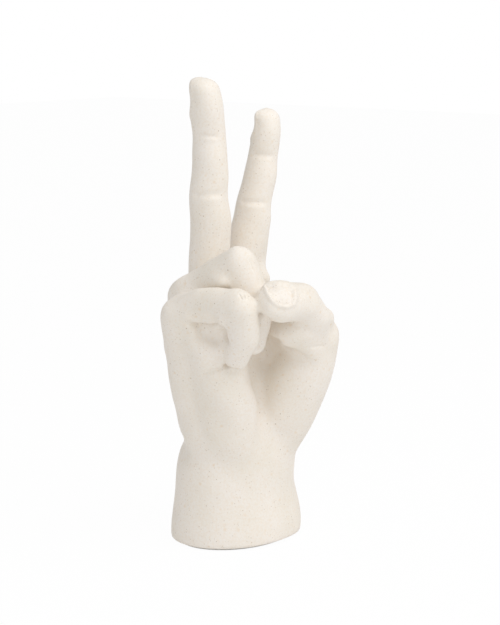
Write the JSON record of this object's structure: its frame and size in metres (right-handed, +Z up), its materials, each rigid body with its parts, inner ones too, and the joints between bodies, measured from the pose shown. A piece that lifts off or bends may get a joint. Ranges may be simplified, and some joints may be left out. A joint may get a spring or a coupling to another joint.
{
  "type": "hand sculpture",
  "caption": "Free-standing cream ceramic sculpture of a right hand making a V sign, cut off at the wrist, with a felt-covered foot.",
  "frame": {"origin": "centre of the oval foot, on the surface that the sculpture stands on", "axes": "+Z up along the raised fingers, +X towards the thumb's side, -Y out of the palm"},
  "size_m": [0.0858, 0.0824, 0.2252],
  "materials": {
    "ceramic": "matte, fine tan and grey speckle",
    "felt": "pressed wool felt"
  },
  "bodies": {
    "root": {"palm_and_wrist": "ceramic", "middle_finger": "ceramic", "index_finger": "ceramic", "ring_finger": "ceramic", "little_finger": "ceramic", "thumb": "ceramic", "foot_plate": "ceramic", "felt_base": "felt"}
  },
  "joints": []
}
